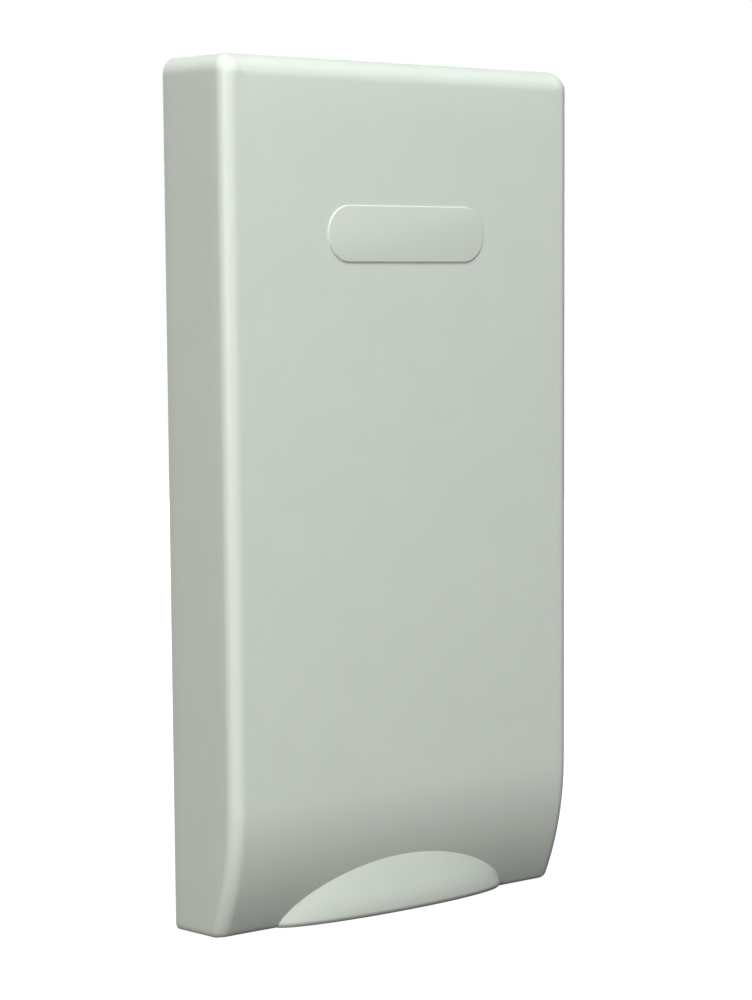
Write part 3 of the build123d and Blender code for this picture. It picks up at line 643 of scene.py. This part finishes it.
def cover_skin(inset, grip_inset, floor, rim):
    """The cover's skin, drawn in by inset and begun at the levels floor and rim, as three sheets.

    The band is a profile (side, rounded edge, edge of the front) carried up one side, round the head
    and down the other.  The panel is the front within it, and its lowest rows rise over the grip's
    arch.  The grip is ruled between its lip and that arch.  All three share their edges' points.
    """
    # columns: close together towards the grip's tips, then even to the sides
    base = front_out - grip_reach - grip_inset - grip_lean * (floor - foot_z)
    reach = grip_reach - lip_drop * (1 - (floor - foot_z) / lip_turn) ** 2
    tip = (grip_half - grip_inset) * math.sqrt(1 - ((skin_out(floor, inset) - base) / reach) ** 2)
    grip_x = tip * np.sin(np.radians(np.linspace(-90, 90, 61)))
    centre_x, centre_z = head_half - head_corner, head_z - head_corner
    foot_x = centre_x - side_lean * (centre_z - floor)
    aside = np.linspace(tip, foot_x, 7)[1:]
    across = np.concatenate([-aside[::-1], grip_x, aside]) / foot_x

    # outline: points on it, inward directions, and how far it has turned from side (0) to head (1)
    levels = np.concatenate([np.linspace(floor, sweep_top, 31), np.linspace(sweep_top, centre_z, 20)[1:]])
    turn = np.radians(np.linspace(0, 90, 15))
    side = np.stack([-head_half + side_lean * (centre_z - levels), levels], 1)
    ray, shift = np.stack([-np.cos(turn), np.sin(turn)], 1), head_corner - corner_radius
    towards = ray @ [-shift, shift]
    arc = towards + np.sqrt(towards**2 - 2 * shift**2 + corner_radius**2)
    straight = head_corner / np.maximum(-ray[:, 0], ray[:, 1])
    distance = np.where(np.minimum(-ray[:, 0], ray[:, 1]) * straight > shift, arc, straight)
    corner = np.array([-centre_x, centre_z]) + distance[:, None] * ray
    head = np.stack([centre_x * across, np.full_like(across, head_z)], 1)
    mirror = np.array([-1.0, 1.0])
    outline = np.concatenate([side, corner[1:-1], head, mirror * corner[-2:0:-1], mirror * side[::-1]])
    side_in, corner_in = np.tile([1.0, 0.0], (len(side), 1)), -ray * (distance / head_corner)[:, None]
    head_in = np.tile([0.0, -1.0], (len(head), 1))
    inward = np.concatenate([side_in, corner_in[1:-1], head_in, mirror * corner_in[-2:0:-1],
                             mirror * side_in])
    share = np.concatenate([np.zeros(len(side)), (turn / turn[-1])[1:-1], np.ones(len(head)),
                            (turn / turn[-1])[-2:0:-1], np.zeros(len(side))])
    edge = side_edge + (head_edge - side_edge) * share**2 * (3 - 2 * share) - inset

    # band: up the side, round the edge and on to the start of the panel
    bend = np.radians(np.linspace(0, 90, 13))
    drawn = np.concatenate([np.zeros(7), 1 - np.cos(bend[1:])])[None] * edge[:, None] + inset
    flat = (inset + edge)[:, None] + np.linspace(0, 1, 4)[None, 1:] * (head_corner - inset - edge)[:, None]
    drawn = np.concatenate([drawn, flat], 1)
    place = outline[:, None] + drawn[..., None] * inward[:, None]
    face = skin_out(place[..., 1], inset)
    rise = np.linspace(0, 1, 7)[None]
    wall = rim + rise * (face[:, :7] - edge[:, None] - rim)
    rounded = face[:, 7:19] - edge[:, None] * (1 - np.sin(bend[1:]))[None]
    out = np.concatenate([wall, rounded, face[:, 19:]], 1)
    band = np.stack([place[..., 0], out, place[..., 1]], -1)

    # panel: its lowest rows are lifted over the arch, less and less towards 60 mm up
    foot_across = across * foot_x
    arch = np.where(np.abs(foot_across) < tip, grip_arch(foot_across, inset, grip_inset, floor), floor)
    lift = (arch - floor)[None] * np.clip(1 - (levels - floor) / 60, 0, 1)[:, None] ** 2
    panel_z = levels[:, None] + lift
    panel_x = across[None] * (centre_x - side_lean * (centre_z - levels))[:, None]
    panel = np.stack([panel_x, skin_out(panel_z, inset), panel_z], -1)

    # grip: ruled from its lip up to the arch
    grip_top = grip_arch(grip_x, inset, grip_inset, floor)
    grip_top[[0, -1]] = floor
    grip_z = floor + np.linspace(0, 1, 9)[:, None] * (grip_top - floor)[None]
    wide = np.broadcast_to(grip_x, grip_z.shape)
    grip = np.stack([wide, grip_out(wide, grip_z, grip_inset), grip_z], -1)
    grip[:, [0, -1], 1] = skin_out(floor, inset)
    foot = np.concatenate([band[0], panel[0, 1:7], grip[0], panel[0, -7:-1], band[-1, ::-1]])
    above = np.concatenate([band[1], panel[1, 1:7], grip[1], panel[1, -7:-1], band[-2, ::-1]])
    return [band, panel, grip], foot, above


def wall_end(outer, inner, ends, outer_round, inner_round, slope=0.0):
    """The end of a wall between two edges: a rounded edge, a flat and a smaller rounded edge.

    ends is the direction in which the wall ends, and slope the angle at which its outside arrives.
    """
    across = inner - outer
    across -= (across @ ends)[:, None] * ends
    across /= np.linalg.norm(across, axis=1)[:, None]
    turn = slope + np.linspace(0, 1, 9)[:, None] * (np.pi / 2 - slope)
    radius = outer_round / (1 - np.sin(slope))
    out_rows = (outer + (radius * (np.cos(slope) - np.cos(turn)))[..., None] * across
                + (radius * (np.sin(turn) - np.sin(slope)))[..., None] * ends)
    turn = np.linspace(np.pi / 2, 0, 5)[:, None] + np.zeros(len(outer))
    in_rows = (inner - (inner_round * (1 - np.cos(turn)))[..., None] * across
               + (inner_round * np.sin(turn))[..., None] * ends)
    return np.concatenate([out_rows, in_rows])


outer_sheets, outer_foot, outer_above = cover_skin(0.0, 0.0, foot_z + foot_round, rim_out + rim_round)
inner_sheets, inner_foot, _ = cover_skin(cover_wall, grip_wall, foot_z + inner_round, rim_out + inner_round)
down, back = np.array([0.0, 0.0, -1.0]), np.array([0.0, -1.0, 0.0])
falling = outer_foot - outer_above
level_in = (inner_foot - outer_foot) * (1, 1, 0)
level_in /= np.linalg.norm(level_in, axis=1)[:, None]
arrival = np.arctan2(np.sum(falling * level_in, 1), -falling[:, 2] + 1e-12)
arrival[:7] = arrival[-7:] = 0.0
foot_end = wall_end(outer_foot, inner_foot, down, foot_round, inner_round, arrival)
rim_end = wall_end(outer_sheets[0][:, 0], inner_sheets[0][:, 0], back, rim_round, inner_round)
corner_ends = [np.stack([rim_end[:, side], foot_end[:, side]], 0) for side in (0, -1)]
skin_sheets = outer_sheets + inner_sheets + [foot_end, rim_end] + corner_ends

# bottom wall behind the front, notched round the mouth of the grip; its sections run from side to side
mouth_half, mouth_reach = grip_half - grip_wall, grip_reach - grip_wall
floor_half = outer_foot[-1, 0] - cover_wall / 2
floor_x = np.union1d(np.linspace(-floor_half, floor_half, 41),
                     mouth_half * np.sin(np.radians(np.linspace(-90, 90, 41))) * 0.9999)
mouth = front_out - grip_reach - mouth_reach * np.sqrt(np.clip(1 - (floor_x / mouth_half) ** 2, 0, 1))
front_edge = np.where(np.abs(floor_x) < mouth_half, mouth, skin_out(foot_z, cover_wall) + 0.8)
floor_low, floor_high = foot_z + 0.05, foot_z + cover_wall
bottom_wall = stretched(np.stack([
    np.stack([floor_x, 0 * floor_x + rim_out + 0.05, 0 * floor_x + floor_low], -1),
    np.stack([floor_x, front_edge, 0 * floor_x + floor_low], -1),
    np.stack([floor_x, front_edge - grip_lean * cover_wall, 0 * floor_x + floor_high], -1),
    np.stack([floor_x, 0 * floor_x + rim_out + 0.05, 0 * floor_x + floor_high], -1)], 1))

# seal rib: a strip 2 mm wide, mitred at its two corners, that stands on the inside of the front
rib_out, rib_top, rib_foot, rib_aside, rib_width = 9.3, 100.5, -70.0, 55.5, 2.0
rib_path = np.array([[-rib_aside, rib_foot], [-rib_aside, rib_top],
                     [rib_aside, rib_top], [rib_aside, rib_foot]])
rib_lean = np.array([[1, 0], [1, -1], [-1, -1], [-1, 0]]) * rib_width / 2
rib_sections = [[[*(point + side * lean), out] for side, out in
                 ((-1, rib_out), (1, rib_out), (1, front_out - 1.2), (-1, front_out - 1.2))]
                for point, lean in zip(rib_path, rib_lean)]
rib = stretched(np.array(rib_sections)[..., [0, 2, 1]])

# posts behind the two pads: round pegs that end inside the front's wall
post_aside, post_z, post_radius, post_bevel, post_root = 40.0, -100.0, 4.0, 0.4, 26.6
post_profile = [(0, rib_out), (post_radius - post_bevel, rib_out), (post_radius, rib_out + post_bevel),
                (post_radius, post_root), (0, post_root)]
posts = [turned(post_profile, (side * post_aside, 0, post_z), 48) for side in (-1, 1)]

# rod eyes: a ring on a web that hangs from the head, bored for the rod
eye_bore, eye_radius, eye_thickness, eye_aside = 1.55, 3.2, 6.0, 43.0
eye_turn = np.radians(np.append(np.linspace(-180, 180, 49), -180))
web_top = head_z - cover_wall / 2
eye_x, eye_z = eye_radius * np.cos(eye_turn), eye_radius * np.sin(eye_turn)
outside = np.stack([rod_out + eye_x, np.where(eye_turn >= 0, web_top, rod_z + eye_z)], 1)
bore = np.stack([rod_out + eye_bore * np.cos(eye_turn), rod_z + eye_bore * np.sin(eye_turn)], 1)


def bored_plate(x):
    """A plate across x between its outside and its bore, as one sheet that closes on itself."""
    low, high = x - eye_thickness / 2, x + eye_thickness / 2
    rows = ((bore, low), (outside, low), (outside, high), (bore, high), (bore, low))
    return np.stack([np.insert(row, 0, level, axis=1) for row, level in rows])


eyes = [bored_plate(side * eye_aside) for side in (-1, 1)]

# snap noses: wedges on the inside of the skirt
snap_level, snap_length, snap_tip = -60.0, 14.0, 59.3
skirt = head_half - side_lean * (head_z - head_corner - snap_level) - cover_wall / 2
nose = np.array([[skirt, rim_out + 0.6], [snap_tip, rim_out + 1.6],
                 [snap_tip, rim_out + 2.4], [skirt, rim_out + 5.0]])
nose_ends = [snap_level - snap_length / 2, snap_level + snap_length / 2]
noses = [stretched([np.insert(nose * (side, 1), 2, end, axis=1) for end in nose_ends]) for side in (-1, 1)]

# plain raised pill on the front: a stadium outline with a softly rounded edge
badge_width, badge_height, badge_z = 60.0, 16.0, head_z - 49.0
badge_turn = np.radians(np.linspace(0, 360, 97))
badge_round = badge_height / 2 * np.stack([np.cos(badge_turn), np.sin(badge_turn)], 1)
badge_shift = np.where(np.abs(np.cos(badge_turn)) < 1e-9, 0, np.sign(np.cos(badge_turn)))
badge_middle = np.stack([badge_shift * (badge_width - badge_height) / 2,
                         np.full_like(badge_turn, badge_z)], 1)
badge_rows = [(1.0, front_out - 0.6), (1.0, front_out), (0.995, front_out + 0.6 * badge_raise),
              (0.975, front_out + 0.93 * badge_raise), (0.95, front_out + badge_raise)]
badge_sheet = np.stack([np.insert(badge_middle + size * badge_round, 1, out, axis=1)
                        for size, out in badge_rows])
badge_centres = np.broadcast_to(badge_sheet.mean(1, keepdims=True), badge_sheet.shape)
badge = np.concatenate([badge_centres[:1], badge_sheet, badge_centres[-1:]])

cover_plastic = moulded_plastic("cover_plastic", rgba(213, 220, 211), rgba(211, 218, 209),
                                roughness=0.4, grain=0.0006, depth=0.000015)
cover_shells = [*skin_sheets, bottom_wall, rib, *posts, *eyes, *noses, badge]
cover = shell_piece("cover_moulding", cover_shells, cover_plastic, crease=16.0)
stand_for(cover, "cover", "cover_plastic", "cover_shell")

# ---------------------------------------------------------------------------------------------
# Cover seal and pads: a foam strip stuck on the rib inside the cover, which keeps rain off the
# grille, and two rubber pads pushed on the posts, on which the foot of the cover rests.
# ---------------------------------------------------------------------------------------------

dress("cover_seal", black_foam)
pads_low, pads_high = 1000 * np.array(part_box("cover_pads"))
pad_radius = (pads_high[2] - pads_low[2]) / 2
pad_back, pad_front = -pads_high[1], -pads_low[1]
pad_profile = eased([(0, pad_front), (pad_radius, pad_front), (pad_radius, pad_back), (2.2, pad_back),
                     (1.7, pad_back + 0.5), (0, pad_back + 0.5)], 0.4)
pad_shells = [turned(pad_profile, (x, 0, pads_low[2] + pad_radius), 48)
              for x in (pads_low[0] + pad_radius, pads_high[0] - pad_radius)]
pads = shell_piece("cover_pads_moulded", pad_shells, black_rubber)
stand_for(pads, "cover", "rubber", "cover_pads")

# ---------------------------------------------------------------------------------------------
# Studio: a white floor under white surroundings.  Soft keys stand high in front and on the left, and
# two soft lights behind show the wall side.  The floor and the surroundings themselves give little.
# ---------------------------------------------------------------------------------------------


def area_light(name, power, size, place, tint=(1.0, 1.0, 1.0)):
    """A soft square light of a size in metres, aimed from its place at the middle of the cowl."""
    light = bpy.data.lights.new(name, "AREA")
    light.energy, light.size, light.color = power, size, tint
    lamp = bpy.data.objects.new(name, light)
    lamp.location = place
    lamp.rotation_euler = (-Vector(place)).to_track_quat("-Z", "Y").to_euler()
    bpy.context.collection.objects.link(lamp)


scene = bpy.context.scene
scene.view_settings.view_transform = "Standard"
area_light("high_key", 29.2, 0.6, (-0.3, -0.7, 1.5), (0.97, 1.0, 0.995))
area_light("left_key", 14.1, 0.8, (-1.6, -0.9, 0.3), (1.0, 0.975, 0.945))
area_light("near_key", 0.4, 0.25, (-0.35, -0.47, 0.32))
area_light("front_fill", 0.6, 0.4, (-0.3, -0.9, 0.0))
area_light("rear_right", 13.0, 1.1, (1.2, 1.2, 0.12))
area_light("rear_middle", 9.0, 1.5, (0.5, 1.6, 0.1))

# the floor looks white, and gives a little light from 0.16 m outwards
floor_paint, place, node, feed = new_material("floor_paint")
from_middle = node("ShaderNodeVectorMath", {0: place}, operation="LENGTH").node.outputs["Value"]
bounce = spread(node, from_middle, 0.13, 0.16, 0.0, 0.1)
pale, paler = (0.05, 0.05, 0.05, 1.0), (0.055, 0.055, 0.055, 1.0)
feed(
    Base_Color=mottle(node, clouds(node, place, 0.3, 0.0, 1.0), pale, paler),
    Roughness=0.8,
    Emission_Color=(1.0, 1.0, 1.0, 1.0),
    Emission_Strength=node("ShaderNodeMath", {0: node("ShaderNodeLightPath", {}), 1: bounce},
                           operation="MAXIMUM"),
)
floor_level, floor_reach = cad_box[0][2], 30.0
floor_corners = [(x * floor_reach, y * floor_reach, floor_level)
                 for x, y in ((-1, -1), (1, -1), (1, 1), (-1, 1))]
floor_mesh = bpy.data.meshes.new("floor")
floor_mesh.from_pydata(floor_corners, [], [(0, 1, 2, 3)])
floor_mesh.materials.append(floor_paint)
floor = bpy.data.objects.new("floor", floor_mesh)
bpy.context.collection.objects.link(floor)

world = bpy.data.worlds.new("studio")
world.use_nodes = True
surroundings = world.node_tree.nodes["Background"]
surroundings.inputs["Color"].default_value = (1.0, 1.0, 1.0, 1.0)
seen = world.node_tree.nodes.new("ShaderNodeLightPath").outputs["Is Camera Ray"]
glow = world.node_tree.nodes.new("ShaderNodeMapRange")
glow.inputs["To Min"].default_value = 0.05
world.node_tree.links.new(seen, glow.inputs["Value"])
world.node_tree.links.new(glow.outputs["Result"], surroundings.inputs["Strength"])
scene.world = world

lens = bpy.data.cameras.new("camera")
lens.lens, lens.sensor_width, lens.clip_start = 108.65, 36.0, 0.01
camera = bpy.data.objects.new("camera", lens)
camera_place = (-0.5837, -0.6698, 0.0574)
yaw, pitch, roll = np.radians([41.73, 3.965, -0.39])
ahead = np.array([math.sin(yaw) * math.cos(pitch), math.cos(yaw) * math.cos(pitch), -math.sin(pitch)])
right = np.array([math.cos(yaw), -math.sin(yaw), 0.0])
above = np.cross(right, ahead)
tilted_right = right * math.cos(roll) + above * math.sin(roll)
tilted_above = above * math.cos(roll) - right * math.sin(roll)
pose = np.eye(4)
pose[:3, 0], pose[:3, 1], pose[:3, 2], pose[:3, 3] = tilted_right, tilted_above, -ahead, camera_place
camera.matrix_world = Matrix(pose.tolist())
bpy.context.collection.objects.link(camera)
scene.camera = camera
